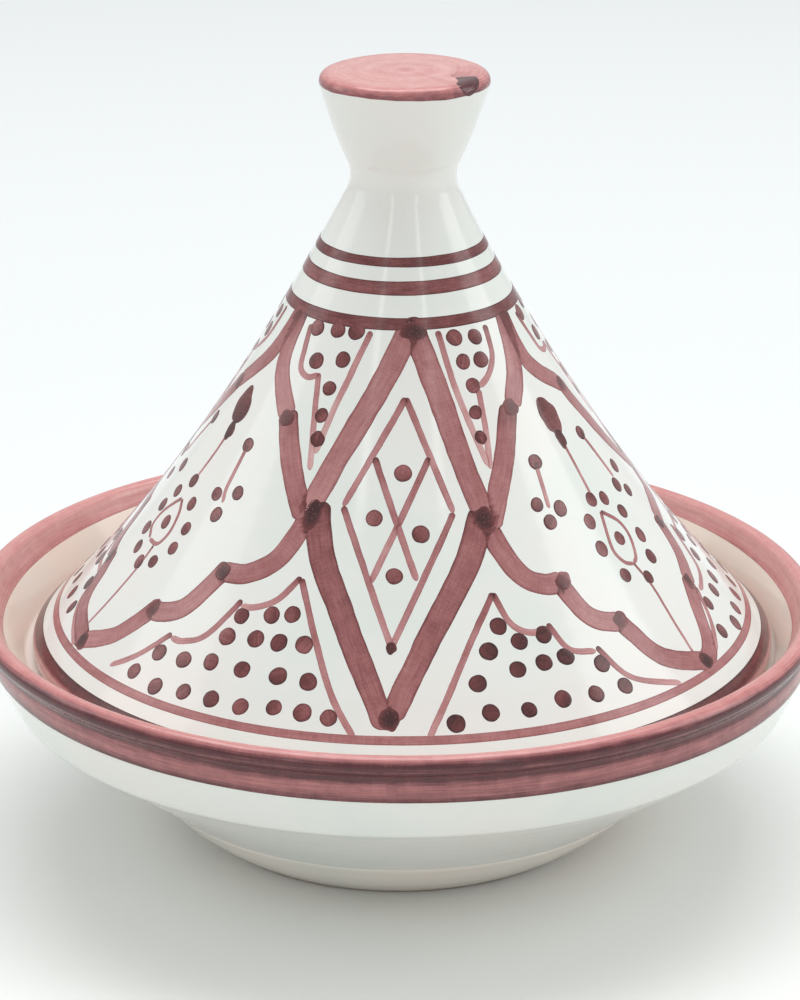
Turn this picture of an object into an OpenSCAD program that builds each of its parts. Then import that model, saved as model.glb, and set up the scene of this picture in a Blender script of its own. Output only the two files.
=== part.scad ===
// Tagine serving pot: a footed dish with a stepped seat, and a conical lid with a waisted knob.
// Origin: centre of the foot's underside. +Z is up, along the pot's own axis. Millimetres.

/* [Dish] */
// Diameter over the dish's lip
rim_d = 272.8; // [265:0.2:285]
// Height of the lip above the table
dish_h = 77.6; // [74:0.2:80]
// Diameter of the foot at the table
foot_d = 128; // [118:0.2:136]
// Diameter at the heel crease, where the bowl meets the foot's flare
heel_d = 166; // [156:0.2:172]
// Height of the heel crease
heel_h = 16.6; // [14:0.1:18]
// Width of the flat ring that the foot stands on
foot_ring_w = 6.4; // [5:0.1:9]
// Height of the hollow under the dish's floor
foot_hollow_h = 5; // [3:0.1:6]
// Thickness of the dish's floor
floor_t = 7.5; // [6:0.1:9]
// Diameter at the shoulder crease, under the upright band below the collar
shoulder_d = 252; // [246:0.2:258]
// Height of the shoulder crease
shoulder_h = 48.6; // [45:0.2:52]

/* [Rim collar] */
// Height of the collar, from its lower edge to the lip's top
collar_h = 15.6; // [15:0.1:17]
// Thickness of the rounded lip
lip_t = 6.6; // [6:0.1:7]
// How far the collar's lower edge lies inside the lip's outside
collar_inset = 4; // [3:0.1:4.5]
// Depth of the groove under the lip
groove_depth = 1.2; // [0.6:0.1:1.5]

/* [Lid seat] */
// Depth of the seat below the lip's top
seat_drop = 18.2; // [17:0.1:19]
// Width of the flat seat
seat_w = 12; // [10:0.1:13]
// Room between the lid's edge and the wall beside the seat
seat_side_gap = 2.7; // [2:0.1:3.5]
// Air under the lid, between its edge and the seat
seat_gap = 0.3; // [0.3:0.1:0.6]

/* [Lid] */
// Height of the lid's painted edge
lid_edge_h = 5; // [4:0.1:6]
// Thickness of the lid's wall
lid_wall = 6.5; // [5:0.1:8]
// Width of the lid's bottom edge
lid_foot_w = 7; // [6:0.1:8]
// Steepness of the cone just under the waist: drop for each mm outwards
cone_steep_top = 1.95; // [1.8:0.05:2.1]
// Steepness of the cone at its flared foot
cone_steep_foot = 0.95; // [0.85:0.05:1.05]

/* [Knob] */
// Diameter of the knob's flat top
knob_d = 53; // [48:0.2:58]
// Height of the knob's top above the table
knob_top = 248; // [240:1:256]
// Radius of the waist, where the cone and the knob would meet in a sharp corner
waist_r = 15.2; // [14:0.1:17]
// Height of that corner above the table
waist_z = 215; // [210:0.5:220]
// Length of flank and of knob that the waist's curve takes up
waist_blend = 6; // [4:0.5:8]
// How far the bend of the knob's flank lies outside a straight flare
knob_bulge = 1.4; // [0:0.1:2]

/* [Painted glaze] */
// Thickness of a coat of painted glaze
coat_t = 0.25; // [0.15:0.05:0.4]
// Height of the paint inside the lip, below the lip's top
lip_paint_h = 5.6; // [4.5:0.1:8]
// Height of the paint on the knob's side
knob_paint_h = 3.8; // [3:0.1:7]
// Heights above the table of the three neck bands, each [bottom, top]
neck_band_z = [[192.6, 195.3], [185, 188.8], [175.5, 178.8]];
// Height of the thin line above the lid's edge, [bottom, top]
lid_line_z = [71.4, 73.3];
// Height of the paint round the lid's edge, above the lid's underside
lid_edge_paint_h = 8.3; // [5.5:0.1:9]

/* [Hidden] */
$fn = 180;

WHITE = "#eef0ec";
ROSE = "#b9757b";
MAROON = "#8a5057";

rim_r = rim_d / 2;
foot_r = foot_d / 2;
heel_r = heel_d / 2;
shoulder_r = shoulder_d / 2;

// Lip: a half-round bead at the top of the collar
lip_r = lip_t / 2;
lip_c = [rim_r - lip_r, dish_h - lip_r];
collar_z = dish_h - collar_h;
collar_r = rim_r - collar_inset;

// Seat: a flat ledge inside the rim, under a sloping wall
seat_z = dish_h - seat_drop;
seat_wall_lean = 8;
seat_out_r = rim_r - lip_t - seat_wall_lean;
seat_in_r = seat_out_r - seat_w;
seat_fillet = 1.6;

// Lid: stands on the seat
lid_z = seat_z + seat_gap;
lid_r = seat_out_r - seat_side_gap;
lid_in_r = lid_r - lid_foot_w;
edge_round = 1.2;

// Points on a quadratic curve from a to c, drawn towards b, in n steps
function curve(a, b, c, n) =
    [for (i = [0:n]) let (t = i / n) (1 - t) * (1 - t) * a + 2 * t * (1 - t) * b + t * t * c];

// Points on an arc about c, from angle a0 to a1, in n steps
function arc(c, r, a0, a1, n) =
    [for (i = [0:n]) let (a = a0 + (a1 - a0) * i / n) c + r * [cos(a), sin(a)]];

// Unit vector along v, and v turned a quarter turn to the right
function unit(v) = v / norm(v);
function right(v) = [v.y, -v.x];

// A path's points, moved by d to the right of the way it runs
function beside(path, d) =
    let (last = len(path) - 1)
    [for (i = [0:last])
        let (
            before = unit(path[max(i, 1)] - path[max(i, 1) - 1]),
            after = unit(path[min(i + 1, last)] - path[min(i + 1, last) - 1]),
            n = right(before) + right(after)
        )
        path[i] + 2 * d * n / (n * n)];

function reversed(list) = [for (i = [len(list) - 1:-1:0]) list[i]];
function past_first(list) = [for (i = [1:len(list) - 1]) list[i]];

// Where two lines cross: one through a along u, the other through b along v
function meet(a, u, b, v) = a + u * ((b - a) * right(v)) / (u * right(v));

// The part of a falling path that lies between two heights, cut exactly on the path
function radius_at(path, z) = lookup(z, [for (p = path) [p.y, p.x]]);
function between(path, z_low, z_high) = concat(
    [[radius_at(path, z_high), z_high]],
    [for (p = path) if (p.y < z_high && p.y > z_low) p],
    [[radius_at(path, z_low), z_low]]
);

// Lip and collar, from the paint's edge inside the lip, over the top, down to the collar's lower edge
lip_in = [rim_r - lip_t, dish_h - lip_r];
seat_wall_foot = [seat_out_r, seat_z + seat_fillet];
lip_paint_edge = seat_wall_foot
    + (lip_in - seat_wall_foot) * (dish_h - lip_paint_h - seat_wall_foot.y) / (lip_in.y - seat_wall_foot.y);
groove_top = lip_c + lip_r * [cos(-25), sin(-25)];
groove_low = [collar_r + 0.9, collar_z + collar_h * 0.4];
collar_edge = [collar_r, collar_z];
rim_path = concat(
    [lip_paint_edge],
    arc(lip_c, lip_r, 180, -25, 12),
    past_first(curve(
        groove_top,
        [groove_low.x - groove_depth, (groove_top.y + groove_low.y) / 2],
        groove_low, 6
    )),
    [collar_edge]
);

// Outside of the bowl, from the collar down to the foot, and the hollow under the floor
band_top = [collar_r - 0.7, collar_z - 0.4];
shoulder = [shoulder_r, shoulder_h];
heel = [heel_r, heel_h];
bowl_outside = concat(
    curve(band_top, (band_top + shoulder) / 2 + [0.4, -0.2], shoulder, 4),
    curve(shoulder - [0.7, 0.8], (shoulder + heel) / 2 + [-0.6, 0.8], heel + [0.6, 0.5], 10)
);
foot_outside = concat(
    curve(heel - [0.5, 0.6], (heel + [foot_r, 0]) / 2 + [1.6, -1.6], [foot_r + 0.8, 0.8], 8),
    [[foot_r - 0.5, 0]]
);
foot_in_r = foot_r - 0.5 - foot_ring_w;
foot_hollow = concat(
    [[foot_in_r, 0]],
    curve(
        [foot_in_r - 0.8, 1],
        [foot_in_r - 2, foot_hollow_h],
        [foot_in_r - 8, foot_hollow_h], 6
    ),
    [[0, foot_hollow_h]]
);

// Inside of the bowl, from the middle of the floor up to the seat
floor_z = foot_hollow_h + floor_t;
bowl_inside = concat(
    [[0, floor_z], [foot_r - 12, floor_z]],
    curve(
        [foot_r - 6, floor_z + 0.4],
        [seat_in_r - 3, seat_z - 27],
        [seat_in_r - 0.4, seat_z - 2], 14
    ),
    [[seat_in_r + 1, seat_z]]
);
seat_path = concat(
    [[seat_out_r - seat_fillet, seat_z]],
    arc([seat_out_r - seat_fillet, seat_z + seat_fillet], seat_fillet, -60, 0, 3)
);

module dish() {
    color(WHITE)
        rotate_extrude()
            polygon(concat(
                bowl_inside,
                seat_path,
                rim_path,
                bowl_outside,
                foot_outside,
                foot_hollow
            ));
}

// Cone: one flaring curve from the waist down to the lid's edge
waist = [waist_r, waist_z];
down_from_waist = unit([1, -cone_steep_top]);
up_from_foot = unit([-1, cone_steep_foot]);
cone_top = waist + waist_blend * down_from_waist;
cone_foot = [lid_r + 0.2, lid_z + lid_edge_h];
cone_bend = meet(cone_top, down_from_waist, cone_foot, up_from_foot);
cone_path = curve(cone_top, cone_bend, cone_foot, 24);

// Knob: a flare from the waist to a rounded rim and a nearly flat top
knob_r = knob_d / 2;
knob_round = 3;
knob_top_path = concat(
    [[0, knob_top], [knob_r - 2 * knob_round, knob_top - 0.3]],
    arc([knob_r - knob_round, knob_top - knob_round - 0.3], knob_round, 75, -16, 7)
);
knob_rim_foot = knob_top_path[len(knob_top_path) - 1];
knob_bend = (waist + knob_rim_foot) / 2 + knob_bulge * right(unit(knob_rim_foot - waist));
knob_start = waist + waist_blend * unit(knob_bend - waist);
knob_path = concat(knob_top_path, past_first(curve(knob_rim_foot, knob_bend, knob_start, 8)));
waist_path = curve(knob_start, waist, cone_top, 10);

// Lid's edge, from the foot of the cone to the underside
edge_path = concat(
    [cone_foot, [lid_r, lid_z + lid_edge_h - 1.2]],
    arc([lid_r - edge_round, lid_z + edge_round], edge_round, 0, -80, 4)
);

// Inside of the cone: the cone's curve, a wall's thickness inside it, closed by a rounded tip
tip_z = waist_z - 4;
inner_top = cone_top + lid_wall * right(down_from_waist);
inner_foot = [lid_in_r, lid_z];
inner_bend = cone_bend
    + lid_wall * (right(down_from_waist) - right(up_from_foot))
    / (1 + right(down_from_waist) * -right(up_from_foot));
lid_inside = concat(
    reversed(curve(inner_top, inner_bend, inner_foot + [0, 0.8], 24)),
    past_first(reversed(curve([0, tip_z], [inner_top.x * 0.75, tip_z], inner_top, 6)))
);

module lid() {
    color(WHITE)
        rotate_extrude()
            polygon(concat(
                knob_path,
                past_first(waist_path),
                past_first(cone_path),
                past_first(edge_path),
                [inner_foot + [0.8, 0]],
                lid_inside
            ));
}

// A coat of painted glaze on a path that runs clockwise round the outside
module coat(path) {
    rotate_extrude()
        polygon(concat(beside(path, -coat_t), reversed(path)));
}

module rim_glaze() {
    color(ROSE) coat(rim_path);
}

module knob_glaze() {
    coat_foot = knob_top - knob_paint_h;
    knob_coat = concat(
        [for (p = knob_path) if (p.y > coat_foot) p],
        [[radius_at(knob_path, coat_foot), coat_foot]]
    );
    color(ROSE)
        rotate_extrude()
            polygon(concat(
                [[0, knob_top + coat_t]],
                past_first(beside(knob_coat, -coat_t)),
                reversed(knob_coat)
            ));
}

module neck_bands_glaze() {
    color(MAROON)
        for (band = neck_band_z)
            coat(between(cone_path, band[0], band[1]));
}

module lid_line_glaze() {
    color(MAROON) coat(between(cone_path, lid_line_z[0], lid_line_z[1]));
}

module lid_edge_glaze() {
    color(MAROON)
        coat(concat(
            between(cone_path, cone_foot.y, lid_z + lid_edge_paint_h),
            [for (p = past_first(edge_path)) if (p.y > lid_z + 0.25) p]
        ));
}

dish();
lid();
rim_glaze();
knob_glaze();
neck_bands_glaze();
lid_line_glaze();
lid_edge_glaze();
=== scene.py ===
"""A hand-painted tagine: two thrown clay bodies, glazed white and brushed with rose and maroon.

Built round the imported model, in its own frame: metres, +Z up, -Y to the front.
A place on a turned body is (theta, s). Theta is the angle round the axis, 0 at the front and
positive towards +X. S is the distance along the body's outline from its start on the axis.
"""

import math
import random

import bmesh
import bpy
import mathutils
import numpy as np
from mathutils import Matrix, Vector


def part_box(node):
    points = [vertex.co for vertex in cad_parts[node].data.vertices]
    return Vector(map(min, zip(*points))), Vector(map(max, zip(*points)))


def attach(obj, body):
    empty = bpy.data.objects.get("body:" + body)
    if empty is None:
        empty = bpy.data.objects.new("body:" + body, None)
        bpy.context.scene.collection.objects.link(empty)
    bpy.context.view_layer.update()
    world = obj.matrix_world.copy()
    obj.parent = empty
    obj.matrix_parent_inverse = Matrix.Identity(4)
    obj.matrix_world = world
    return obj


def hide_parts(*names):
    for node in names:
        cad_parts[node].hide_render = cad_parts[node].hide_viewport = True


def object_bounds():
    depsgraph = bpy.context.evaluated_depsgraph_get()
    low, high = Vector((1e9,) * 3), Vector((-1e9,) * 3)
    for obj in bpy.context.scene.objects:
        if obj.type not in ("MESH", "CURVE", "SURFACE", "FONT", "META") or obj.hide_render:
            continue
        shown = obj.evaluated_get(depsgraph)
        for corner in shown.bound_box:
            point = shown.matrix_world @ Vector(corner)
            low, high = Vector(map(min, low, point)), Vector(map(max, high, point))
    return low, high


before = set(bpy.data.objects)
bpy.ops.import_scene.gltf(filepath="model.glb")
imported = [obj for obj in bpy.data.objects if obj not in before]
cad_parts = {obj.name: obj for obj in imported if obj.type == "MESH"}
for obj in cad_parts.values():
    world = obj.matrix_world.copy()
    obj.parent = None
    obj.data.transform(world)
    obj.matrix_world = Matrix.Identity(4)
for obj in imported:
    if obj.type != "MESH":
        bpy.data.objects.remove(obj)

MM = 0.001
TURN = 2 * math.pi
SEGMENTS = 256          # round each pot

cad_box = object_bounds()
pot_height = cad_box[1][2] - cad_box[0][2]


# ---------------------------------------------------------------- outlines of turned bodies

def node_rings(node):
    """The (radius, height) of each ring of vertices in a turned CAD node, and which rings share an edge."""
    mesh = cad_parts[node].data
    co = np.empty(len(mesh.vertices) * 3)
    mesh.vertices.foreach_get("co", co)
    co = co.reshape(-1, 3)
    points = np.column_stack([np.hypot(co[:, 0], co[:, 1]), co[:, 2]])
    ring_of = np.full(len(points), -1)
    rings = []
    while (ring_of < 0).any():
        place = points[np.argmax(ring_of < 0)]
        near = np.hypot(*(points - place).T) < 0.01 * MM
        ring_of[near & (ring_of < 0)] = len(rings)
        rings.append(place)
    links = [set() for _ in rings]
    for edge in mesh.edges:
        a, b = (ring_of[i] for i in edge.vertices)
        if a != b:
            links[a].add(b)
            links[b].add(a)
    return np.array(rings), links


def node_outline(node):
    """The node's outline as (radius, height) points, from the upper end of its axis to the lower one."""
    rings, links = node_rings(node)
    ends = [i for i, near in enumerate(links) if len(near) == 1]
    here = max(ends, key=lambda i: rings[i][1])
    chain = [here]
    while True:
        ahead = [i for i in links[here] if i not in chain]
        if not ahead:
            break
        here = min(ahead, key=lambda i: np.hypot(*(rings[i] - rings[here])))
        chain.append(here)
    outline = rings[chain]
    first, last = outline[0], outline[-1]
    return np.vstack([[0, first[1]], outline[int(first[0] < MM / 10):], [0, last[1]]])


def band_heights(node):
    """The lowest and highest z of each separate ring of glaze in a CAD node."""
    rings, links = node_rings(node)
    left = set(range(len(rings)))
    bands = []
    while left:
        band, todo = set(), [left.pop()]
        while todo:
            ring = todo.pop()
            band.add(ring)
            todo += [i for i in links[ring] if i not in band]
        left -= band
        z = [rings[i][1] for i in band]
        bands.append((min(z), max(z)))
    return sorted(bands)


def lengths(path):
    """Distance from the path's start to each of its points."""
    return np.concatenate([[0], np.cumsum(np.linalg.norm(np.diff(path, axis=0), axis=1))])


def blurred(column, reach, blur, mirrored):
    """A column of evenly spaced values, smoothed, and carried on past both ends.

    Reach and blur are counted in values. Mirrored is -1 for radii, which change sign over the axis,
    and 1 for heights.
    """
    weight = np.exp(-0.5 * (np.arange(-reach, reach + 1) / blur) ** 2)
    before, after = mirrored * column[reach:0:-1], mirrored * column[-2:-reach - 2:-1]
    return np.convolve(np.concatenate([before, column, after]), weight / weight.sum(), "valid")


def softened(outline):
    """The outline with its corners rounded, as glaze rounds them, and its long curves made smooth.

    A short blur rounds it all. A long blur takes over away from corners, where it moves little.
    """
    fine, corner_turn = 0.25 * MM, math.radians(9)
    short_blur, long_blur = (14, 3.8), (48, 12)
    near_corner, past_corner, allowed_shift = 1.5 * MM, 6 * MM, 0.08 * MM
    longest_row, sharpest_row = 1.6 * MM, math.radians(7)
    s = lengths(outline)
    even = np.arange(0, s[-1], fine)
    raw_r, raw_z = (np.interp(even, s, column) for column in outline.T)
    run = np.unwrap(np.arctan2(*np.diff(outline, axis=0).T[::-1]))
    corners = s[1:-1][np.abs(np.diff(run)) > corner_turn]
    away = np.abs(even[:, None] - corners[None, :]).min(axis=1)
    smooth = np.clip((away - near_corner) / past_corner, 0, 1)
    r, z = blurred(raw_r, *short_blur, -1), blurred(raw_z, *short_blur, 1)
    long_r, long_z = blurred(raw_r, *long_blur, -1), blurred(raw_z, *long_blur, 1)
    smooth *= np.clip(2 - np.hypot(long_r - r, long_z - z) / allowed_shift, 0, 1)
    r = (1 - smooth) * r + smooth * long_r
    z = (1 - smooth) * z + smooth * long_z
    r[0] = r[-1] = 0
    heading = np.unwrap(np.arctan2(np.gradient(z), np.gradient(r)))
    need = np.hypot(np.diff(r), np.diff(z)) / longest_row + np.abs(np.diff(heading)) / sharpest_row
    need = np.concatenate([[0], np.cumsum(need)])
    picked = np.linspace(0, need[-1], int(need[-1]) + 2)
    return np.column_stack([np.interp(picked, need, r), np.interp(picked, need, z)])


# ---------------------------------------------------------------- turned bodies

RIDGE_PITCH = 7.3 * MM      # between throwing ridges
RIM_LEAN = (118, 500)       # the rim falls by 1 in these towards +X and towards the front


def handmade(seed, swell, ridges):
    """Slow swells round a thrown pot and faint throwing ridges, as a height over a place."""
    rng = random.Random(seed)
    waves = []
    for turns in (1, 2, 2, 3, 4):
        waves.append((turns, rng.uniform(-40, 40), rng.uniform(0, TURN), rng.uniform(0.3, 0.6)))
    phase = rng.uniform(0, TURN)

    def height(theta, s, r):
        slow = sum(a * np.sin(n * theta + k * s + p) for n, k, p, a in waves)
        ridge = np.sin(theta + TURN * s / RIDGE_PITCH + 2.2 * np.sin(s / (21 * MM)) + phase)
        return (swell * slow + ridges * ridge) * np.clip(r / (14 * MM), 0, 1)

    return height


class Turned:
    """A body thrown on the wheel: a CAD node's outline, turned, a little uneven and off centre.

    Drift is how far the pot leans sideways at each height. Lean and stain say, along the outline,
    how much the rim's lean counts and how strongly the white takes a warm tint, painted reflection beside
    the dish's seat.
    """

    def __init__(self, node, uneven, drift):
        self.node = node
        self.uneven = uneven
        self.drift = drift
        self.lean = ([0, 1], [0, 0])
        self.stain = ([0, 1], [0, 0])
        outline = softened(node_outline(node))
        self.r, self.z = outline.T
        self.s = lengths(outline)
        run = np.gradient(outline, self.s, axis=0)
        run /= np.linalg.norm(run, axis=1)[:, None]
        self.out_r, self.out_z = -run[:, 1], run[:, 0]

    def radius(self, s):
        return np.interp(s, self.s, self.r)

    def outline_at(self, s):
        """Radius, height and outward direction at distances along the outline."""
        return (np.interp(s, self.s, a) for a in (self.r, self.z, self.out_r, self.out_z))

    def at(self, theta, s, lift=0.0):
        """Points on the surface, or raised off it by lift."""
        theta, s, lift = np.broadcast_arrays(theta, s, lift)
        r, z, out_r, out_z = self.outline_at(s)
        rise = lift + self.uneven(theta, s, r)
        r = r + rise * out_r
        z = z + rise * out_z
        x = r * np.sin(theta) + np.interp(z, *self.drift)
        y = -r * np.cos(theta)
        z = z + np.interp(s, *self.lean) * (y / RIM_LEAN[1] - x / RIM_LEAN[0])
        return np.stack([x, y, z], axis=-1)

    def score(self, place, depth, width):
        """Cuts a fine line round the body at a distance along its outline."""
        s = np.union1d(self.s, place + width * np.linspace(-2, 2, 17))
        r, z, out_r, out_z = self.outline_at(s)
        cut = depth * np.exp(-(((s - place) / width) ** 2))
        self.s, self.r, self.z = s, r - cut * out_r, z - cut * out_z
        self.out_r, self.out_z = out_r, out_z

    def down_to(self, z, start, end):
        """The distance along the outline at which it has height z, between two distances."""
        part = (self.s >= start) & (self.s <= end)
        heights, places = self.z[part], self.s[part]
        order = np.argsort(heights)
        return np.interp(z, heights[order], places[order])

    def solid(self, name):
        """The whole body as one closed mesh."""
        theta = np.linspace(0, TURN, SEGMENTS, endpoint=False)[None, :]
        rows = self.at(theta, self.s[:, None])
        mesh = GridMesh("stain")
        mesh.sheet(rows, wrap=True, stain=np.interp(self.s, *self.stain)[:, None])
        return mesh.build(name)


class GridMesh:
    """Grids of points gathered into one mesh, with a number or two stored at each point."""

    def __init__(self, *fields):
        self.points = []
        self.faces = []
        self.values = {field: [] for field in fields}
        self.count = 0

    def add_points(self, grid, values):
        start = self.count
        flat = grid.reshape(-1, 3)
        self.points.append(flat)
        for field, stored in self.values.items():
            stored.append(np.broadcast_to(values[field], grid.shape[:-1]).reshape(-1))
        self.count += len(flat)
        return np.arange(start, self.count).reshape(grid.shape[:-1])

    def quads(self, ids, wrap):
        """Faces between neighbouring points of a grid. With wrap, its last column meets its first."""
        if wrap:
            ids = np.concatenate([ids, ids[:, :1]], axis=1)
        corners = (ids[:-1, :-1], ids[:-1, 1:], ids[1:, 1:], ids[1:, :-1])
        self.faces.append(np.stack(corners, axis=-1).reshape(-1, 4))

    def sheet(self, grid, wrap, **values):
        ids = self.add_points(grid, values)
        self.quads(ids, wrap)
        return ids

    def slab(self, top, bottom, wrap, disc=False, **values):
        """A closed patch between two grids: with wrap, a ring; with disc, its first rows are points."""
        upper = self.sheet(top, wrap, **values)
        lower = self.sheet(bottom, wrap, **values)
        if not disc:
            self.quads(np.concatenate([upper[:1], lower[:1]]), wrap)
        self.quads(np.concatenate([upper[-1:], lower[-1:]]), wrap)
        if not wrap:
            for side in (0, -1):
                self.quads(np.stack([upper[:, side], lower[:, side]]), False)

    def build(self, name):
        mesh = bpy.data.meshes.new(name)
        mesh.from_pydata(np.concatenate(self.points).tolist(), [], np.concatenate(self.faces).tolist())
        for field, stored in self.values.items():
            attribute = mesh.attributes.new(field, "FLOAT", "POINT")
            attribute.data.foreach_set("value", np.concatenate(stored).astype(np.float32))
        work = bmesh.new()
        work.from_mesh(mesh)
        bmesh.ops.remove_doubles(work, verts=work.verts, dist=0.0005 * MM)
        bmesh.ops.dissolve_degenerate(work, edges=work.edges, dist=0.0001 * MM)
        bmesh.ops.recalc_face_normals(work, faces=work.faces)
        work.to_mesh(mesh)
        work.free()
        mesh.shade_smooth()
        piece = bpy.data.objects.new(name, mesh)
        bpy.context.scene.collection.objects.link(piece)
        return piece


# Thrown clay is never quite straight: (heights, sideways shifts)
dish_drift = (np.array([0, 12, 43, 60, 78]) * MM, np.array([-0.8, -0.4, 0.3, -0.8, -2.1]) * MM)
lid_drift = (np.array([0, 195, 215, 248]) * MM, np.array([0, 0, 0.5, 0.9]) * MM)

dish = Turned("dish", handmade(11, swell=0.07 * MM, ridges=0.008 * MM), dish_drift)
lid = Turned("lid", handmade(5, swell=0.10 * MM, ridges=0.012 * MM), lid_drift)

# Places along the lid's outline: its widest point, the edge of the knob's top, and the waist
lid_edge_s = lid.s[np.argmax(lid.r)]
knob_flat_radius = 26 * MM
upper_part = lid.s < lid_edge_s / 2
knob_rim_s = lid.s[upper_part][np.argmax(lid.r[upper_part] > knob_flat_radius)]
neck_part = (lid.s > knob_rim_s) & (lid.s < lid_edge_s)
waist_s = lid.s[neck_part][np.argmin(lid.r[neck_part])]

# Places along the dish's outline: the lip's top, and the part of the rim that leans
lip_s = dish.s[np.argmax(dish.z)]
dish.lean = (lip_s + np.array([-15, -3, 18, 31]) * MM, [0, 1, 1, 0])

# Beside the seat the white is tinted warm as painted reflection of the rose and maroon glaze round it; the
# foot, below the heel's crease, takes a weaker warm tint
heel_height = 16.6 * MM
heel_s = dish.down_to(heel_height, lip_s + 30 * MM, lip_s + 100 * MM)
dish.score(heel_s, 0.4 * MM, 0.8 * MM)
dish.stain = (
    np.concatenate([lip_s + np.array([-30, -20, -4, 0]) * MM, heel_s + np.array([-1, 1, 20]) * MM]),
    [0, 0.9, 1, 0, 0, 0.45, 0.45],
)


def on_cone(z):
    """Where the lid's flank has a height, as a distance along its outline."""
    return lid.down_to(z, waist_s, lid_edge_s)


# ---------------------------------------------------------------- brushwork

# What a mark stores at its points: how much glaze, with painted highlight and shade added on the rim, knob
# and lid-edge coats, how far from its middle line to its edge, and distances across and along the brush's
# run
FIELDS = ("load", "across", "fast", "slow")
SINK = 0.05 * MM        # from the pot's surface down to a mark's underside
HEM = 0.02 * MM         # from the pot's surface down to a mark's edge


def drift_along(rng, length, spacing, size):
    """Slow random variation along a stroke, as a function of distance."""
    knots = np.arange(-spacing, length + 2 * spacing, spacing)
    values = [rng.uniform(-size, size) for _ in knots]

    def value(distance):
        fine = np.interp(distance, knots, values)
        before = np.interp(distance - spacing / 3, knots, values)
        after = np.interp(distance + spacing / 3, knots, values)
        return fine / 2 + (before + after) / 4

    return value


def smooth_path(points, samples=24):
    """A smooth curve through the points: a straight line for two, a Catmull-Rom curve for more."""
    points = np.asarray(points, float)
    if len(points) == 2:
        t = np.linspace(0, 1, 2 * samples)[:, None]
        return points[0] * (1 - t) + points[1] * t
    padded = np.vstack([2 * points[0] - points[1], points, 2 * points[-1] - points[-2]])
    spans = []
    t = np.linspace(0, 1, samples, endpoint=False)[:, None]
    for a, b, c, d in zip(padded, padded[1:], padded[2:], padded[3:]):
        curve = 2 * b + (c - a) * t + (2 * a - 5 * b + 4 * c - d) * t**2 + (3 * b - a - 3 * c + d) * t**3
        spans.append(curve / 2)
    return np.vstack(spans + [points[-1:]])


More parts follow.
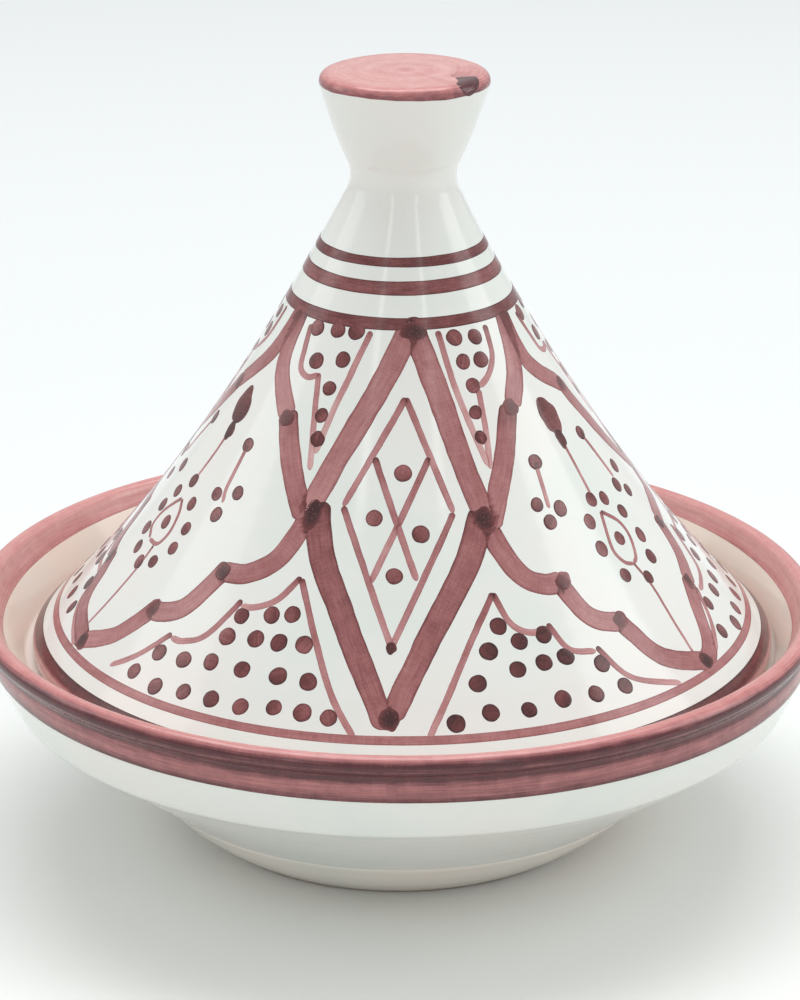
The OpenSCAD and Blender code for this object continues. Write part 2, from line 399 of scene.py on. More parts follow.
class Brush:
    """Paints on a turned body. Marks are thin closed patches of glaze, gathered into one piece.

    Below lists the outlines of earlier marks: a mark is darker where it crosses them.
    """

    def __init__(self, body, seed, below=None):
        self.body = body
        self.rng = random.Random(seed)
        self.mesh = GridMesh(*FIELDS)
        self.marks = 0
        self.below = below

    def crowned(self, lift, crown):
        """A mark's height off the pot. Crown is 1 in its middle, and 0 at its edge.

        Each mark lies a hair higher than the one before it, so that crossing marks stay apart.
        """
        self.marks += 1
        lift = lift + 0.0006 * MM * self.marks
        return -HEM + (lift + HEM) * crown

    def covered(self, theta, s):
        """How many earlier marks, up to two, lie under each place."""
        count = np.zeros(np.shape(theta))
        for outline in self.below or ():
            low, high = outline.min(axis=0), outline.max(axis=0)
            if theta.max() < low[0] or theta.min() > high[0] or s.max() < low[1] or s.min() > high[1]:
                continue
            inside = np.zeros(count.shape, bool)
            for (t0, s0), (t1, s1) in zip(outline, np.roll(outline, -1, axis=0)):
                if s0 != s1:
                    crossing = t0 + (s - s0) * (t1 - t0) / (s1 - s0)
                    inside ^= ((s0 > s) != (s1 > s)) & (theta < crossing)
            count += inside
        return np.minimum(count, 2)

    def remember(self, theta, s):
        if self.below is not None:
            self.below.append(np.column_stack([theta, s]))

    def stroke(self, path, width, load=0.6, lift=0.07 * MM, dab=0.12, lift_off=0.0, blunt=0.35, tip=0.35,
               taper=1.0, over=0.17):
        """One stroke through places (theta, s). It starts dark with a dab and fades by lift_off.

        Blunt and tip are how far the rounded start and end reach, in widths. Taper is the width at
        the end as a share of the width at the start. Over is the load added where marks cross.
        """
        theta, s = np.asarray(path, float).T
        r = self.body.radius(s)
        track = smooth_path(np.column_stack([r * np.sin(theta), -r * np.cos(theta), s]))
        theta = np.unwrap(np.arctan2(track[:, 0], -track[:, 1]))
        s = track[:, 2]
        around = np.cumsum(np.diff(theta) * self.body.radius((s[1:] + s[:-1]) / 2))
        flat = np.column_stack([np.concatenate([[0], around]), s])
        distance = lengths(flat)
        total = distance[-1]
        rows = self.row_places(total, blunt * width, tip * width)
        theta, s = np.interp(rows, distance, theta), np.interp(rows, distance, s)
        along = np.gradient(np.column_stack([np.interp(rows, distance, flat[:, 0]), s]), rows, axis=0)
        along /= np.linalg.norm(along, axis=1)[:, None]
        ends = self.end_shape(rows, total, blunt * width, tip * width)
        half = width / 2 * ends * (1 + (taper - 1) * rows / total)
        sides = []
        for _ in range(2):
            wander = drift_along(self.rng, total, 1.3 * width, 0.08)
            ragged = drift_along(self.rng, total, 0.35 * width, 0.035)
            sides.append(half * (1 + wander(rows) + ragged(rows)))
        u = np.array([-1, -0.93, -0.82, -0.6, -0.3, 0, 0.3, 0.6, 0.82, 0.93, 1])[None, :]
        reach = np.where(u < 0, sides[0][:, None], sides[1][:, None]) * u
        grid_theta = theta[:, None] + reach * -along[:, 1:] / self.body.radius(s)[:, None]
        grid_s = s[:, None] + reach * along[:, :1]
        crown = np.sqrt(np.clip(1 - u**6, 0, 1)) * np.minimum(1, ends * 1.6)[:, None]
        top_lift = self.crowned(lift, crown)
        start_dark = dab * np.exp(-((rows / (0.9 * width)) ** 2))
        fade = lift_off * np.clip(rows / total, 0, 1) ** 0.8
        body_load = load + start_dark - fade + drift_along(self.rng, total, 2.5 * width, 0.07)(rows)
        origin = self.rng.uniform(0, 0.5)
        self.mesh.slab(
            self.body.at(grid_theta, grid_s, top_lift),
            self.body.at(grid_theta, grid_s, -SINK),
            wrap=False,
            load=body_load[:, None] + over * self.covered(grid_theta, grid_s),
            across=u,
            fast=reach + origin,
            slow=rows[:, None] + origin,
        )
        self.remember(
            np.concatenate([grid_theta[:, 0], grid_theta[::-1, -1]]),
            np.concatenate([grid_s[:, 0], grid_s[::-1, -1]]),
        )

    @staticmethod
    def row_places(total, start_cap, end_cap):
        """Distances for the rows of a stroke: close together in its rounded ends."""
        close = np.array([0, 0.08, 0.22, 0.42, 0.68, 1])
        start_cap, end_cap = min(start_cap, total / 3), min(end_cap, total / 3)
        count = max(3, int((total - start_cap - end_cap) / (0.9 * MM)))
        middle = np.linspace(start_cap, total - end_cap, count + 1)
        return np.concatenate([start_cap * close[:-1], middle, total - end_cap * close[-2::-1]])

    @staticmethod
    def end_shape(rows, total, start_cap, end_cap):
        """How wide the stroke is along its length, as a share: rounded at both ends."""
        start = np.clip(rows / min(start_cap, total / 3), 0, 1)
        end = np.clip((total - rows) / min(end_cap, total / 3), 0, 1)
        return np.maximum(0.12, np.sqrt(1 - (1 - start) ** 2) * np.sqrt(1 - (1 - end) ** 2))

    def dab(self, theta, s, long, wide, turn=0.0, load=0.78, lift=0.08 * MM, rough=0.05, shade=0.06,
            soft=0.0, rim=1.0, over=0.12):
        """A round or oval touch of the brush, turned by an angle from the way round the pot.

        Soft is how much less glaze lies at its edge than in its middle. Rim scales the dark line
        that glaze draws along its edge.
        """
        ring = np.linspace(0, TURN, 32, endpoint=False)
        share = np.array([0, 0.18, 0.36, 0.55, 0.72, 0.86, 0.95, 1.0])[:, None]
        bumps = 1 + sum(
            rough * self.rng.uniform(0.3, 1) / n * np.sin(n * ring + self.rng.uniform(0, TURN))
            for n in (2, 3, 4, 5, 7)
        )
        x = share * bumps * long / 2 * np.cos(ring)
        y = share * bumps * wide / 2 * np.sin(ring)
        right = x * math.cos(turn) - y * math.sin(turn)
        up = x * math.sin(turn) + y * math.cos(turn)
        grid_theta = theta + right / self.body.radius(s)
        grid_s = s - up
        top_lift = self.crowned(lift, np.sqrt(1 - share**6))
        heavy_side = self.rng.uniform(0, TURN)
        body_load = load + self.rng.uniform(-0.04, 0.04) + shade * share * np.cos(ring - heavy_side)
        body_load = body_load - soft * share**3 + over * self.covered(grid_theta, grid_s)
        origin = self.rng.uniform(0, 0.5)
        self.mesh.slab(
            self.body.at(grid_theta, grid_s, top_lift),
            self.body.at(grid_theta, grid_s, -SINK),
            wrap=True,
            disc=True,
            load=body_load,
            across=rim * np.broadcast_to(share, x.shape),
            fast=x + origin,
            slow=y + origin,
        )
        self.remember(grid_theta[-1], grid_s[-1])

    def ring(self, start, end, load, seam, waver=0.25 * MM):
        """A coat right round the body, from distance start to end, while the pot turns on the wheel.

        Load gives the load at a distance along the outline. Seam is where the turn of paint starts
        and ends. Waver is how far its edges wander.
        """
        theta = np.linspace(0, TURN, SEGMENTS, endpoint=False)
        edges = []
        for place in (start, end):
            wave = sum(
                self.rng.uniform(0.3, 1) / n**0.7 * np.sin(n * theta + self.rng.uniform(0, TURN))
                for n in (2, 3, 5, 8, 13, 21)
            )
            edges.append(place + waver * 0.5 * wave * np.minimum(1, place / MM))
        wide = np.mean(edges[1] - edges[0])
        disc = np.max(start) == 0
        count = max(8, int(wide / (0.5 * MM)))
        hem = min(0.12, 0.25 * MM / wide)
        inner = np.linspace(0, 1, count + 1)
        inner = inner[(inner > hem) & (inner < 1 - hem)]
        share = np.concatenate([[0, hem * 0.4, hem], inner, [1 - hem, 1 - hem * 0.4, 1]])[:, None]
        grid_s = edges[0] * (1 - share) + edges[1] * share
        crown = np.clip(np.minimum(share, 1 - share) / hem, 0, 1)
        crown = np.sqrt(1 - (1 - crown) ** 2)
        if disc:
            crown = np.where(share < 0.5, 1, crown)
        top_lift = self.crowned(0.07 * MM, crown)
        since_seam = (theta - seam) % TURN
        overlap = 0.1 * (np.exp(-since_seam / 0.05) + 0.6 * (since_seam > TURN - 0.12))
        drifting = 0.3 * MM * (np.sin(2 * theta + seam) + 0.6 * np.sin(5 * theta))
        self.mesh.slab(
            self.body.at(theta[None, :], grid_s, top_lift),
            self.body.at(theta[None, :], grid_s, -SINK),
            wrap=True,
            disc=disc,
            load=load(grid_s + drifting) + overlap[None, :],
            across=2 * share - 1,
            fast=grid_s,
            slow=theta[None, :] * 60 * MM,
        )

    def finish(self, name, material, slot, rides_on, *stands_for):
        piece = self.mesh.build(name)
        piece.data.materials.append(material)
        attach(piece, rides_on)
        if stands_for:
            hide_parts(*stands_for)


# ---------------------------------------------------------------- materials

def tone(red, green, blue):
    """A colour given as it looks on screen, from 0 to 255, as the linear colour that shaders take."""
    channels = []
    for value in (red, green, blue):
        c = value / 255
        channels.append(c / 12.92 if c <= 0.04045 else ((c + 0.055) / 1.055) ** 2.4)
    return (*channels, 1.0)


class Shader:
    """A material's nodes, written as short calls."""

    def __init__(self, name):
        self.material = bpy.data.materials.new(name)
        self.material.use_nodes = True
        self.tree = self.material.node_tree
        self.surface = self.tree.nodes["Principled BSDF"]

    def add(self, kind, inputs=(), **settings):
        node = self.tree.nodes.new("ShaderNode" + kind)
        for key, value in settings.items():
            setattr(node, key, value)
        for key, value in dict(inputs).items():
            self.put(node.inputs[key], value)
        return node

    def put(self, socket, value):
        if isinstance(value, bpy.types.NodeSocket):
            self.tree.links.new(value, socket)
        else:
            socket.default_value = value

    def math(self, operation, a, b=0.0, clamp=False):
        node = self.add("Math", {0: a, 1: b}, operation=operation)
        node.use_clamp = clamp
        return node.outputs[0]

    def field(self, name):
        return self.add("Attribute", attribute_name=name).outputs["Fac"]

    def place(self):
        return self.add("TexCoord").outputs["Object"]

    def stretched(self, x, y, z=0.0):
        return self.add("CombineXYZ", {0: x, 1: y, 2: z}).outputs[0]

    def noise(self, vector, scale, detail=3.0):
        inputs = {"Vector": vector, "Scale": scale, "Detail": detail, "Roughness": 0.5}
        return self.add("TexNoise", inputs).outputs["Fac"]

    def between(self, value, low, high, out_low=0.0, out_high=1.0):
        inputs = {"Value": value, 1: low, 2: high, 3: out_low, 4: out_high}
        return self.add("MapRange", inputs, interpolation_type="SMOOTHSTEP").outputs[0]

    def ramp(self, value, stops):
        node = self.add("ValToRGB", {"Fac": value})
        elements = node.color_ramp.elements
        while len(elements) < len(stops):
            elements.new(0.5)
        for element, (position, colour) in zip(elements, stops):
            element.position = position
            element.color = colour
        return node.outputs["Color"]

    def mix(self, share, a, b):
        node = self.add("Mix", data_type="RGBA")
        for socket, value in zip((node.inputs[0], node.inputs[6], node.inputs[7]), (share, a, b)):
            self.put(socket, value)
        return node.outputs[2]

    def bump(self, height, distance, strength=1.0, normal=None):
        node = self.add("Bump", {"Height": height, "Distance": distance, "Strength": strength})
        if normal is not None:
            self.put(node.inputs["Normal"], normal)
        return node.outputs[0]

    def set(self, **inputs):
        for key, value in inputs.items():
            self.put(self.surface.inputs[key.replace("_", " ")], value)


def glaze_ripple(shader, normal=None):
    """The slight orange-peel of a fired gloss glaze."""
    fine = shader.noise(shader.place(), 260, 2.0)
    broad = shader.noise(shader.place(), 70, 2.0)
    height = shader.math("ADD", shader.math("MULTIPLY", fine, 0.35), broad)
    return shader.bump(height, 0.06 * MM, 0.8, normal)


def white_glaze():
    """Glossy white glaze: faint cool and warm clouds, a warm tint of painted reflection beside the seat, a
    few specks, bare clay where the foot stands.
    """
    shader = Shader("white_glaze")
    place = shader.place()
    clouds = shader.noise(place, 22, 3.0)
    cool, plain, warm = tone(223, 229, 224), tone(229, 231, 227), tone(231, 229, 225)
    white = shader.ramp(clouds, [(0.32, cool), (0.5, plain), (0.68, warm)])
    # Painted reflection: beside the seat the white takes a warm tint that stands for the rose and maroon
    # glaze reflected in it; the same tint lies, weaker, on the foot
    reflection_and_tint_share = shader.math("MULTIPLY", shader.field("stain"), shader.between(clouds, 0.2, 0.7, 0.75, 1))
    white = shader.mix(reflection_and_tint_share, white, tone(240, 220, 205))
    cells = shader.add("TexVoronoi", {"Vector": place, "Scale": 62.0})
    chance = shader.add("SeparateColor", {0: cells.outputs["Color"]}).outputs[0]
    speck_size = shader.between(chance, 0.93, 1.0, 0.0, 0.035)
    speck = shader.math("LESS_THAN", cells.outputs["Distance"], speck_size)
    speckled = shader.mix(shader.math("MULTIPLY", speck, 0.5), white, tone(150, 128, 112))
    height = shader.add("SeparateXYZ", {0: place}).outputs[2]
    edge = shader.math("ADD", height, shader.math("MULTIPLY", shader.noise(place, 300), 0.5 * MM))
    bare = shader.between(edge, 0.75 * MM, 0.55 * MM)
    grains = shader.noise(place, 900, 4.0)
    grit = shader.ramp(grains, [(0.3, tone(176, 140, 112)), (0.7, tone(206, 176, 148))])
    shader.set(Base_Color=shader.mix(bare, speckled, grit))
    shader.set(Roughness=shader.between(bare, 0, 1, 0.11, 0.85), IOR=1.5)
    shader.set(Normal=glaze_ripple(shader))
    return shader.material


def brushed_glaze(name, stops, bristle=0.24, chatter=0.14, cloud=0.18, pooled=0.15):
    """Coloured glaze from a loaded brush: darker where it lies thick, streaked along and across."""
    shader = Shader(name)
    load, across, fast, slow = (shader.field(field) for field in FIELDS)
    edge = shader.between(shader.math("ABSOLUTE", across), 0.7, 1.0)
    lines = shader.noise(shader.stretched(fast, shader.math("MULTIPLY", slow, 0.06)), 2300, 3.0)
    broad_lines = shader.noise(shader.stretched(fast, shader.math("MULTIPLY", slow, 0.05), 1.7), 620, 2.0)
    ribs = shader.noise(shader.stretched(shader.math("MULTIPLY", fast, 0.12), slow, 0.9), 1900, 2.0)
    clouds = shader.noise(shader.place(), 210, 3.0)
    grain = shader.noise(shader.place(), 2600, 2.0)
    # On the rim, knob and lid-edge coats the load also carries painted highlight and painted shade, so
    # thick there stands for lit and shaded paint as well as real thickness
    thick = load
    waves = (lines, broad_lines, ribs, clouds, grain)
    for wave, size in zip(waves, (bristle, bristle * 0.6, chatter, cloud, 0.12)):
        centred = shader.math("SUBTRACT", wave, 0.5)
        thick = shader.math("ADD", thick, shader.math("MULTIPLY", centred, size))
    thick = shader.math("ADD", thick, shader.math("MULTIPLY", edge, pooled), clamp=True)
    cells = shader.add("TexVoronoi", {"Vector": shader.place(), "Scale": 900.0}).outputs["Distance"]
    many = shader.between(thick, 0.86, 1, 0, 0.3)
    bubble = shader.math("MULTIPLY", shader.between(cells, 0.3, 0.16), many)
    colour = shader.mix(bubble, shader.ramp(thick, stops), tone(150, 104, 102))
    shader.set(Base_Color=colour, Roughness=shader.between(lines, 0.3, 0.7, 0.16, 0.24), IOR=1.5)
    streaks = shader.bump(lines, 0.02 * MM, 0.7)
    shader.set(Normal=glaze_ripple(shader, streaks))
    return shader.material


# Colour of each glaze from a bare smear to a thick blob
MAROON_STOPS = [
    (0.0, tone(226, 208, 205)),
    (0.25, tone(207, 168, 166)),
    (0.45, tone(183, 130, 130)),
    (0.65, tone(150, 92, 93)),
    (0.82, tone(106, 54, 55)),
    (1.0, tone(62, 29, 31)),
]
ROSE_STOPS = [
    (0.0, tone(230, 203, 197)),
    (0.25, tone(213, 158, 154)),
    (0.45, tone(196, 128, 126)),
    (0.65, tone(149, 92, 95)),
    (0.82, tone(94, 46, 51)),
    (1.0, tone(62, 32, 38)),
]


# ---------------------------------------------------------------- the two clay bodies

glaze = white_glaze()
maroon = brushed_glaze("maroon_glaze", MAROON_STOPS)
rose = brushed_glaze("rose_glaze", ROSE_STOPS, bristle=0.36, chatter=0.05, cloud=0.2, pooled=0.12)

for body in (dish, lid):
    piece = body.solid(body.node + "_body")
    piece.data.materials.append(glaze)
    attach(piece, body.node)
    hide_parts(body.node)


# ---------------------------------------------------------------- coats brushed on at the wheel

def steady(load):
    return lambda s: load + 0 * s


def by_place(start, *stops):
    """A load that changes along the outline: (millimetres from start, load) pairs."""
    places, loads = zip(*stops)
    return lambda s: np.interp((s - start) / MM, places, loads)


def paint_rim():
    """Rose coat over the dish's lip and collar: light on the lip's top and inside the rim as painted
    highlight, dark in the groove below it as painted shade.
    """
    coat = Brush(dish, 21)
    theta = np.linspace(0, TURN, SEGMENTS, endpoint=False)
    paint_edge = dish.z.max() - (5 + 2.9 * np.sin(theta) ** 4) * MM
    start = dish.down_to(paint_edge, lip_s - 17 * MM, lip_s)
    end = dish.down_to(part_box("rim_glaze")[0].z + 0.1 * MM, lip_s, lip_s + 30 * MM)
    # Load from the lip's top: low inside the rim, partly thinner paint and partly painted highlight; low on
    # the lip's top as painted highlight; highest in the groove under the lip as painted shade; middling on
    # the collar below
    load = by_place(
        lip_s,
        (-8, 0.34), (-4, 0.32), (-1.5, 0.34), (1, 0.41), (2.4, 0.51), (3.3, 0.71), (4, 0.86), (5.4, 0.87),
        (6.2, 0.78), (7, 0.86), (11.2, 0.85), (12.5, 0.63), (14.5, 0.61), (16.5, 0.63), (18, 0.72),
    )
    coat.ring(start, end, load, seam=math.radians(150))
    coat.finish("rim_coat", rose, "rose_glaze", "dish", "rim_glaze")


def paint_knob():
    """Rose coat on the knob's top, put on in one turn, with a dark start and a seam where it ends."""
    coat = Brush(lid, 22, below=[])
    end = lid.down_to(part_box("knob_glaze")[0].z + 0.1 * MM, knob_rim_s, waist_s)
    # Low load on the knob's flat top, with streaky ups and downs, as painted highlight; higher down its
    # side as painted shade
    load = by_place(
        0,
        (0, 0.35), (4, 0.28), (8, 0.38), (12, 0.26), (16, 0.34), (20, 0.29), (24, 0.38),
        (27, 0.53), (31, 0.68),
    )
    coat.ring(0.0, end, load, seam=math.radians(42), waver=0.6 * MM)
    last_sweep = [(math.radians(57), 20.5 * MM), (math.radians(85), 21 * MM), (math.radians(115), 21 * MM)]
    coat.stroke(
        last_sweep, 11 * MM,
        load=0.5, lift=0.1 * MM, dab=0.06, lift_off=0.16, blunt=0.15, tip=0.8, over=0,
    )
    first_touch = [
        (math.radians(65), 20.2 * MM),
        (math.radians(54), 24 * MM),
        (math.radians(40.5), end - 1.9 * MM),
    ]
    coat.stroke(first_touch, 7.4 * MM, load=0.84, lift=0.13 * MM, dab=0.04, blunt=0.12, tip=0.62, over=0)
    coat.finish("knob_coat", rose, "rose_glaze", "lid", "knob_glaze")


def paint_lines():
    """The lid's neck bands, the thin line above its edge, and the edge itself."""
    bands = Brush(lid, 23)
    for (low, high), load in zip(band_heights("neck_bands_glaze"), (0.79, 0.74, 0.81)):
        bands.ring(on_cone(high), on_cone(low), steady(load), seam=math.radians(160 + 400 * low))
    bands.finish("neck_bands", maroon, "maroon_glaze", "lid", "neck_bands_glaze")
    line = Brush(lid, 24)
    low, high = band_heights("lid_line_glaze")[0]
    line.ring(on_cone(high), on_cone(low), steady(0.57), seam=math.radians(-150))
    line.finish("lid_line", maroon, "maroon_glaze", "lid", "lid_line_glaze")
    edge = Brush(lid, 25)
    low, high = band_heights("lid_edge_glaze")[0]
    under = lid.down_to(low + 0.3 * MM, lid_edge_s, lid_edge_s + 6 * MM)
    # Darkest just above the edge, as painted shade beside the rim's lip; lighter round the edge and under
    # it, as painted pinkish light
    load = by_place(lid_edge_s, (-7, 0.76), (-4, 0.88), (-2.6, 0.86), (-1.4, 0.4), (3, 0.36))
    edge.ring(on_cone(high), under, load, seam=math.radians(170))
    edge.finish("lid_edge", maroon, "maroon_glaze", "lid", "lid_edge_glaze")


paint_rim()
paint_knob()
paint_lines()


# ---------------------------------------------------------------- painted motifs on the lid
# A point of a motif is (degrees round from the front, height in millimetres).

def place(degrees, height):
    return math.radians(degrees), on_cone(height * MM)


painted = []


class Motif:
    """Brush marks on the lid's flank, turned by a whole number of degrees from where they are written."""

    def __init__(self, name, seed, turn=0):
        self.name = name
        self.brush = Brush(lid, seed, below=painted)
        self.rng = random.Random(seed + 500)
        self.turn = turn
        self.jitter = 0.0 if turn == 0 else 0.5     # degrees and millimetres

    def spot(self, point):
        degrees, height = point
        shift = self.rng.uniform(-1, 1) * self.jitter
        return place(degrees + self.turn + shift, height + self.rng.uniform(-1, 1) * self.jitter)

    def broad(self, *points, width=6.5, **how):
        how = {"load": 0.58, "dab": 0.14, **how}
        self.brush.stroke([self.spot(p) for p in points], width * MM, **how)

    def fine(self, *points, width=2.1, **how):
        usual = {"load": 0.62, "dab": 0.18, "lift_off": 0.17, "lift": 0.05 * MM, "blunt": 0.5, "tip": 1}
        how = {**usual, **how}
        self.brush.stroke([self.spot(p) for p in points], width * MM, **how)

    def dots(self, *points, size=5.6, **how):
        for point in points:
            theta, s = self.spot(point)
            grown = size * self.rng.uniform(0.92, 1.06) * MM
            oval = self.rng.uniform(0.94, 1.1)
            self.brush.dab(theta, s, grown, grown * oval, turn=self.rng.uniform(0, TURN), **how)

    def blob(self, point, long, wide, turn=0, load=0.95, soft=0.22):
        """Where strokes meet, the brush leaves a pool of glaze that fades into them."""
        theta, s = self.spot(point)
        how = {"lift": 0.11 * MM, "rough": 0.2, "soft": soft, "rim": 0.7, "over": 0.03}
        self.brush.dab(theta, s, long * MM, wide * MM, math.radians(turn), load=load, **how)

    def joints(self, *points):
        """The rounded heads of strokes where the next one starts over them."""
        for point in points:
            long, wide = self.rng.uniform(6, 6.8), self.rng.uniform(5.4, 6.2)
            self.blob(point, long, wide, self.rng.uniform(0, 180), load=0.84, soft=0.1)

    def finish(self):
        self.brush.finish(self.name, maroon, "maroon_glaze", "lid")


def diamond(name, seed, turn):
    """Four broad strokes, a thin diamond crossed inside them, and four dots."""
    m = Motif(name, seed, turn)
    m.broad((5.6, 178.3), (-6.1, 163.7), (-14.3, 151.4), (-20.4, 139), (-25.2, 125), width=7.4, load=0.54)
    m.broad((3.4, 179), (11.9, 163.5), (15.7, 151.3), (18.5, 139.2), (22.3, 122), width=7.8, dab=0.25)
    m.broad(
        (-23, 129), (-18.8, 115.8), (-10.5, 98), (-6.4, 87.5), (-2.6, 75),
        width=8.6, load=0.65, taper=0.85,
    )
    m.broad(
        (21.5, 127), (16, 116.2), (9.8, 105.5), (1.6, 87.7), (-1.8, 77),
        width=8.5, load=0.61, taper=0.85,
    )
    m.blob((5.2, 175.2), 8.4, 6.6, load=0.88)
    m.blob((-23.4, 125.1), 11.5, 5.6, turn=78)
    m.blob((21.3, 124.4), 9.5, 6.6, turn=100)
    m.blob((-2.1, 77.4), 8.4, 6.6, turn=90)
    inner_top, inner_left, inner_right, inner_bottom = (1.4, 157.5), (-15.6, 128.5), (13.4, 127), (-2, 94)
    m.fine(inner_top, inner_left)
    m.fine(inner_top, inner_right)
    m.fine(inner_left, inner_bottom)
    m.fine(inner_right, inner_bottom)
    m.fine((-8.4, 141.7), (3.2, 110.3))
    m.fine((8.4, 141.7), (-1.2, 123.9), (-6.9, 109.6))
    m.blob(inner_bottom, 4, 3.4, turn=90, load=0.9, soft=0)
    m.dots((0.3, 137.7), (-7.1, 126), (4.6, 122), (-1.7, 111.5), load=0.74)
    m.finish()


def drop_and_eye(m, drop, lean, stem, eye_left, eye_right, pupil, tail, dots):
    """A drop on a stem, an eye with dots round it, and a tail that runs down to the petal's tip."""
    m.blob(drop[0], 12.4, 9.6, turn=90 + lean, load=0.84, soft=0)
    m.blob(drop[1], 7, 4.6, turn=90 + lean, load=0.93, soft=0)
    m.fine(*stem, width=1.3)
    for side in (eye_left, eye_right):
        m.fine(*side, width=1.5, lift_off=0.08)
    m.fine(*tail, width=1.2)
    m.dots(pupil, *dots, size=5)


def sprig(m, top, stem, dots):
    """A dot on a thin stem over three more dots."""
    m.fine(top, *stem, width=1.6)
    m.dots(top, *dots, size=5)


def right_petal(name, seed, turn):
    m = Motif(name, seed, turn)
    m.broad((59, 177), (51, 162), (42, 151.5), width=7)
    m.broad((40.5, 152.5), (30.6, 137), (22.6, 122), width=7.2)
    m.broad((20, 126.5), (25.7, 111), (31, 106), (36.5, 105.5), width=7.2)
    m.broad((34.5, 107), (38.4, 96.5), (43, 92.8), (46, 92.6), width=7)
    m.broad((44.5, 94), (46.5, 88.5), (50.4, 80.5), (60, 74.5), width=7)
    m.broad((58.5, 177), (60.3, 161), (75.8, 150.3), width=7)
    m.broad((75, 151.8), (78.6, 143.9), (86.9, 128.4), (95, 116.5), width=7.2)
    m.broad((94.5, 118), (90.5, 111.5), (86.4, 109.6), (80.2, 105.8), width=7)
    m.broad((81, 107), (77.6, 97.3), (72, 90.5), width=7)
    m.broad((72.6, 92), (67.5, 84.5), (63.2, 77.4), (58.6, 74), width=7)
    m.joints((41, 151.6), (36.2, 105.6), (45.4, 92.4), (75.8, 150.7), (79.9, 105.5), (72, 90.8))
    m.blob((59.4, 75), 7, 6, load=0.9)
    drop_and_eye(
        m,
        drop=((57.2, 146), (57.1, 139.6)), lean=0,
        stem=((57.1, 138.6), (57.2, 132.3), (57, 123.1)),
        eye_left=((57.1, 118.2), (54.9, 112.6), (53.8, 108.1), (55.2, 104.5), (57.8, 103)),
        eye_right=((57.1, 118.2), (61.4, 113.9), (62.2, 109.4), (60, 104.5), (57.8, 103)),
        pupil=(58.2, 110.1),
        tail=((57.8, 103), (59, 96), (58.4, 87.1), (57.7, 77.4)),
        dots=((56.1, 122), (61.3, 120.6), (65.6, 115.2), (51.4, 117.2), (66.6, 107.7), (50.6, 109.9),
              (65, 102), (53.2, 101.6), (59.6, 98.4)),
    )
    sprig(m, (42.3, 136.2), ((41.3, 129.3), (40.6, 123.9)), ((37.3, 125.6), (44, 123), (39.2, 120.5)))
    sprig(m, (68.8, 137.7), ((70.7, 130.8), (72, 123.1)), ((76.8, 124.7), (70.9, 121.1), (75, 117.8)))
    m.finish()


def left_petal(name, seed, turn):
    m = Motif(name, seed, turn)
    m.broad((-59.4, 177), (-55.2, 161.5), (-42, 148.5), width=7)
    m.broad((-43, 150.5), (-34, 137), (-25.5, 124), width=7.2)
    m.broad((-22.5, 129.5), (-28.6, 114), (-35.2, 107.8), (-42.5, 106.5), width=7.2)
    m.broad((-40.5, 108.5), (-46.6, 96), (-52.1, 92), (-55.5, 92), width=7)
    m.broad((-53.5, 93.5), (-60, 82), (-68.3, 75.5), width=7)
    m.broad((-60, 177), (-67, 162), (-81, 150), width=7)
    m.broad((-80, 151.5), (-91, 138), (-101, 126), width=7)
    m.broad((-100, 128.5), (-98.5, 113), (-94, 108), (-90, 106.5), width=7)
    m.broad((-91.5, 108), (-88.5, 97), (-84.5, 92.2), width=7)
    m.broad((-84, 94), (-81.5, 88.6), (-77.5, 81), (-67, 75.5), width=7)
    m.joints((-42, 148.4), (-41.7, 106.5), (-54.7, 91.9), (-80.6, 150.4), (-91, 106.8), (-84, 92.4))
    m.blob((-67.4, 75.8), 7, 6, load=0.9)
    drop_and_eye(
        m,
        drop=((-66.6, 146.6), (-65.6, 139.4)), lean=9,
        stem=((-65.7, 139), (-67, 131), (-68.6, 123.5)),
        eye_left=((-69, 117.6), (-71.4, 115.2), (-74.2, 111.2), (-74.5, 107.2), (-71.4, 104.6)),
        eye_right=((-68.6, 117.6), (-66, 114.2), (-64.9, 109.2), (-66.6, 105), (-71.1, 104.4)),
        pupil=(-69.2, 110.4),
        tail=((-67.6, 104), (-67.9, 97.4), (-69.1, 87.2), (-70.1, 79.3)),
        dots=((-68.8, 123.1), (-73.7, 118.1), (-76.7, 112.5), (-63.2, 118.2), (-76.4, 105.4),
              (-59.6, 112.3), (-73.8, 100.8), (-60, 106.5), (-68.8, 98.6), (-63.9, 101)),
    )
    sprig(m, (-53.2, 138.4), ((-53.2, 131), (-53.1, 126.2), (-51.9, 122.3)),
          ((-55.6, 123.7), (-48.2, 126.1), (-51.9, 119)))
    sprig(m, (-82.5, 138.2), ((-86.5, 131.1), (-88.9, 124.6)), ((-82, 122.9), (-92, 123.8), (-88.4, 117.6)))
    m.finish()


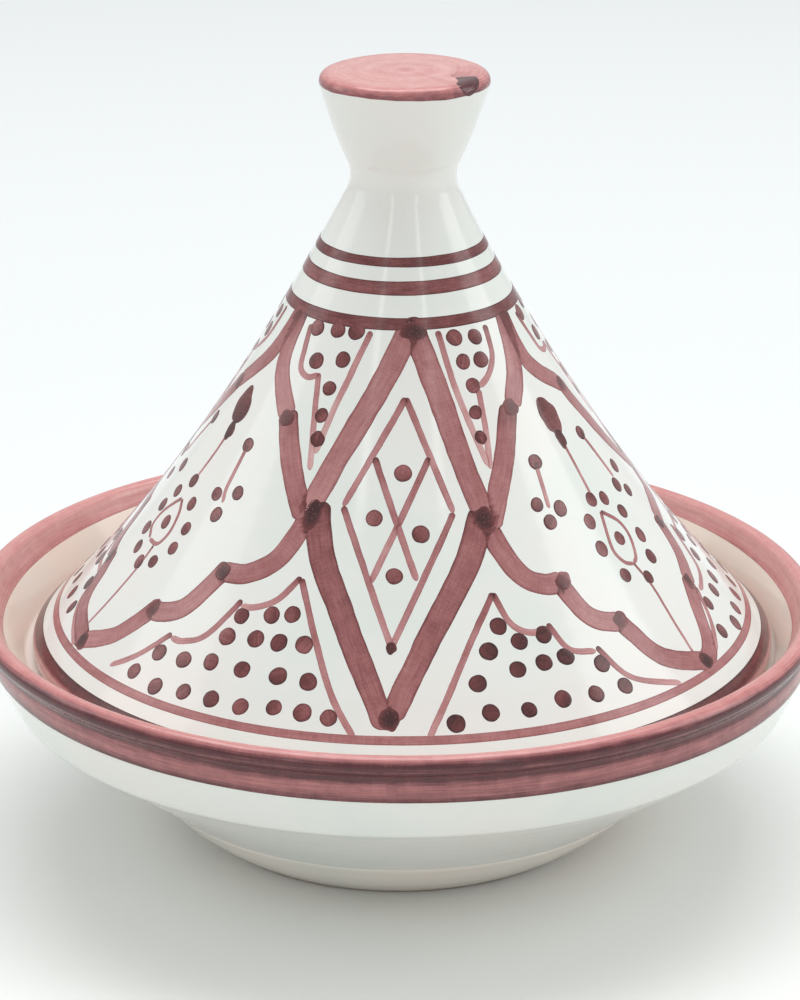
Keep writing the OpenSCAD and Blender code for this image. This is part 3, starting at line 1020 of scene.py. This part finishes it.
def left_triangles(name, seed, turn):
    """The dotted corners to the left of a diamond, above and below it."""
    m = Motif(name, seed, turn)
    m.fine((-48.6, 174), (-46.5, 167), (-44.5, 162), (-39.5, 160.3), (-34.8, 161.6))
    m.fine((-35.1, 162), (-31, 149.5), (-27.6, 136.5), load=0.5)
    m.fine((-14.8, 175), (-20.9, 163), (-25, 152), (-27.4, 141), load=0.5)
    m.dots((-43.9, 173.6), (-31.9, 174.3), (-22.1, 174.6), (-38.1, 165), (-25.7, 166.6), size=5.4)
    m.dots((-28.5, 158.5), (-28.8, 151.1), (-27.9, 144.8), size=5)
    m.fine((-22.2, 109.2), (-16.3, 94.5), (-11.7, 81.9), (-7.3, 72.6))
    m.fine((-22.3, 109.5), (-26.4, 103), (-30.9, 100.2), (-34, 99.8))
    m.fine((-34.1, 101.2), (-38.7, 91), (-43.1, 87.8), (-46.3, 87.6))
    m.fine((-46.4, 88.4), (-51.5, 80.5), (-56, 75.6), lift_off=0.2)
    m.dots((-32.9, 97.5), (-26.5, 99.2), (-22.2, 100.2))
    m.dots((-34.2, 91.9), (-28.2, 92.9), (-23.4, 93), (-18.4, 93.4))
    m.dots((-46.9, 83.3), (-41, 83.8), (-35.3, 85.2), (-28.8, 85.2), (-21.8, 85.2), (-16.2, 84.8))
    m.dots((-49.9, 77.1), (-43.8, 75.9), (-37.9, 76.9), (-32.3, 77), (-26.7, 76.8), (-21, 77.9))
    m.dots((-16.1, 77.6), (-11.7, 77))
    m.finish()


def right_triangles(name, seed, turn):
    """The dotted corners to the right of a diamond, above and below it."""
    m = Motif(name, seed, turn)
    m.fine((17, 175), (21, 158), (26.2, 137.8), load=0.5)
    m.fine((43.2, 174.5), (41.5, 166.5), (36.5, 161.5), (30.6, 158.6))
    m.fine((30, 158), (28.6, 148), (26.6, 137), load=0.5)
    m.dots((24.8, 172.7), (35.5, 172), (26.4, 166), (34.9, 165.7), size=5.2)
    m.dots((28.1, 159.3), (26.5, 152.2), (26, 145.5), size=4.8)
    m.fine((19.3, 106), (12.7, 94.2), (7.4, 81.6), (4.1, 72.8))
    m.fine((19.2, 106), (21.3, 98.5), (24.4, 95.3), (28.5, 95))
    m.fine((29, 96.5), (31.6, 89.5), (36.8, 87.4))
    m.fine((37.2, 88.3), (41.3, 79.2), (50.5, 73.6), lift_off=0.2)
    m.dots((18.9, 97.8), (16, 92.1), (22.3, 93.5), (27.5, 94.1), load=0.9)
    m.dots((13, 84.8), (20.6, 87), (25.8, 87.6), (30.3, 87.9), (36.8, 84.2), load=0.9)
    m.dots((8.5, 76), (14.3, 77.8), (20.7, 77.4), (27, 78.5), (33.2, 77.9), (39.2, 77.8), load=0.88)
    m.finish()


for index, turn in enumerate((0, 120, -120)):
    side = ("front", "right", "left")[index]
    left_triangles(side + "_left_triangles", 100 + index, turn)
    right_triangles(side + "_right_triangles", 110 + index, turn)
    diamond(side + "_diamond", 120 + index, turn)
right_petal("right_petal", 130, 0)
left_petal("left_petal", 131, 0)
right_petal("back_petal", 132, 120)


# ---------------------------------------------------------------- floor, light and camera

def make_floor():
    """A pale sheet: warmer in front of the pot, a painted warm tone of the shade there; cooler and darker
    behind it.
    """
    mesh = GridMesh()
    reach = np.linspace(-8, 8, 3)
    x, y = np.meshgrid(reach, reach)
    mesh.sheet(np.stack([x, y, 0 * x], axis=-1), wrap=False)
    floor = mesh.build("floor")
    shader = Shader("floor")
    back = shader.add("SeparateXYZ", {0: shader.place()}).outputs[1]
    patches = shader.math("MULTIPLY", shader.noise(shader.place(), 1.5, 2.0), 0.15)
    share = shader.between(shader.math("ADD", back, patches), -0.3, 0.6)
    shader.set(Base_Color=shader.mix(share, tone(242, 243, 239), tone(221, 224, 225)), Roughness=0.7)
    shader.surface.inputs["Specular IOR Level"].default_value = 0.2
    floor.data.materials.append(shader.material)


def make_sky(strength):
    """Even pale light from all round."""
    world = bpy.data.worlds.new("studio")
    world.use_nodes = True
    background = world.node_tree.nodes["Background"]
    background.inputs["Color"].default_value = (0.98, 0.985, 0.98, 1)
    background.inputs["Strength"].default_value = strength
    bpy.context.scene.world = world


def softbox(name, place, width, height, power, colour=(1, 1, 1)):
    """A flat light that faces the middle of the pot."""
    light = bpy.data.lights.new(name, "AREA")
    light.shape = "RECTANGLE"
    light.size = width
    light.size_y = height
    light.energy = power
    light.color = colour
    lamp = bpy.data.objects.new(name, light)
    bpy.context.scene.collection.objects.link(lamp)
    lamp.location = place
    aim = mathutils.Vector((0, 0, pot_height / 2)) - lamp.location
    lamp.rotation_euler = aim.to_track_quat("-Z", "Y").to_euler()


def make_camera():
    """Looks down at the pot by 20 degrees from in front, through a long lens."""
    camera = bpy.data.cameras.new("camera")
    camera.sensor_fit = "VERTICAL"
    camera.sensor_height = 36
    camera.lens = 129.2
    camera.shift_x = -0.002
    holder = bpy.data.objects.new("camera", camera)
    bpy.context.scene.collection.objects.link(holder)
    holder.location = (0, -1.080, 0.4995)
    looks_down = math.radians(19.95)
    holder.rotation_euler = (math.radians(90) - looks_down, 0, 0)
    bpy.context.scene.camera = holder


bpy.context.scene.view_settings.view_transform = "Standard"
make_floor()
make_sky(0.66)
softbox("top_light", (0.0, 0.65, 2.25), 2.0, 1.4, 34, (0.97, 0.99, 1))
softbox("left_light", (-1.5, 0.25, 0.9), 0.7, 1.2, 3)
softbox("right_light", (1.5, 0.1, 0.9), 0.7, 1.2, 5)
softbox("front_left_light", (-0.8, -1.6, 1.15), 0.14, 1.3, 1.5)
softbox("front_right_light", (0.8, -1.6, 1.15), 0.14, 1.3, 1.5)
make_camera()
